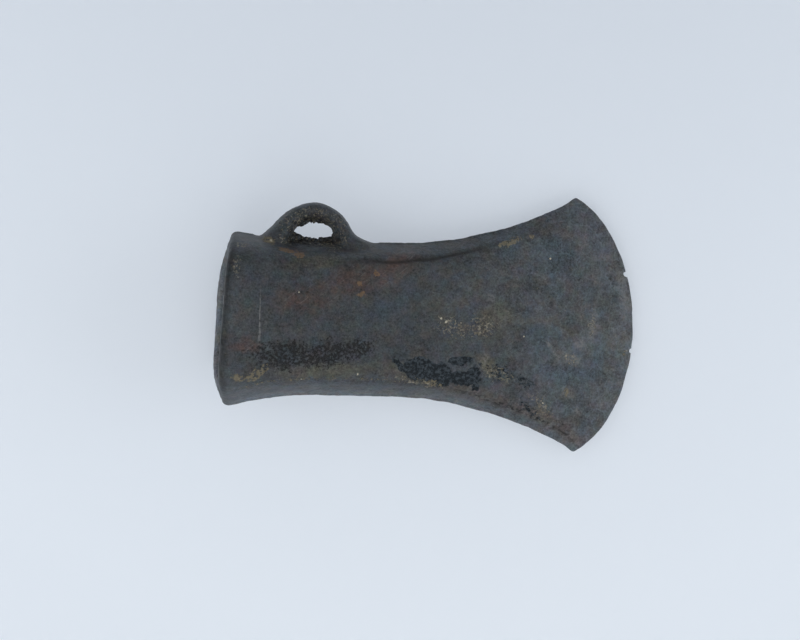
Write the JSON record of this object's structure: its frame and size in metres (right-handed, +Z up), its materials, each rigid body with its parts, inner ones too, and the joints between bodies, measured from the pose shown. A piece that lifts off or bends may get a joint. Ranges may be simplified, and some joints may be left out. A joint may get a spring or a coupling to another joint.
{
  "type": "socketed axe head",
  "caption": "Socketed axe head: a hollow tapering bronze casting with a cord loop on one flank and a flared crescent blade.",
  "frame": {"origin": "on the ground, under the middle of the bounding box", "axes": "+X along the axe from its mouth towards the cutting edge, +Y across the blade towards the loop, +Z up, with a broad face down"},
  "size_m": [0.1064, 0.0652, 0.0315],
  "materials": {
    "bronze": "dark grey-brown patina with a blue-green tint, smooth and softly glossy, flaked and pitted in places, soil in the hollows"
  },
  "bodies": {
    "root": {"axe_head": "bronze"}
  },
  "joints": []
}
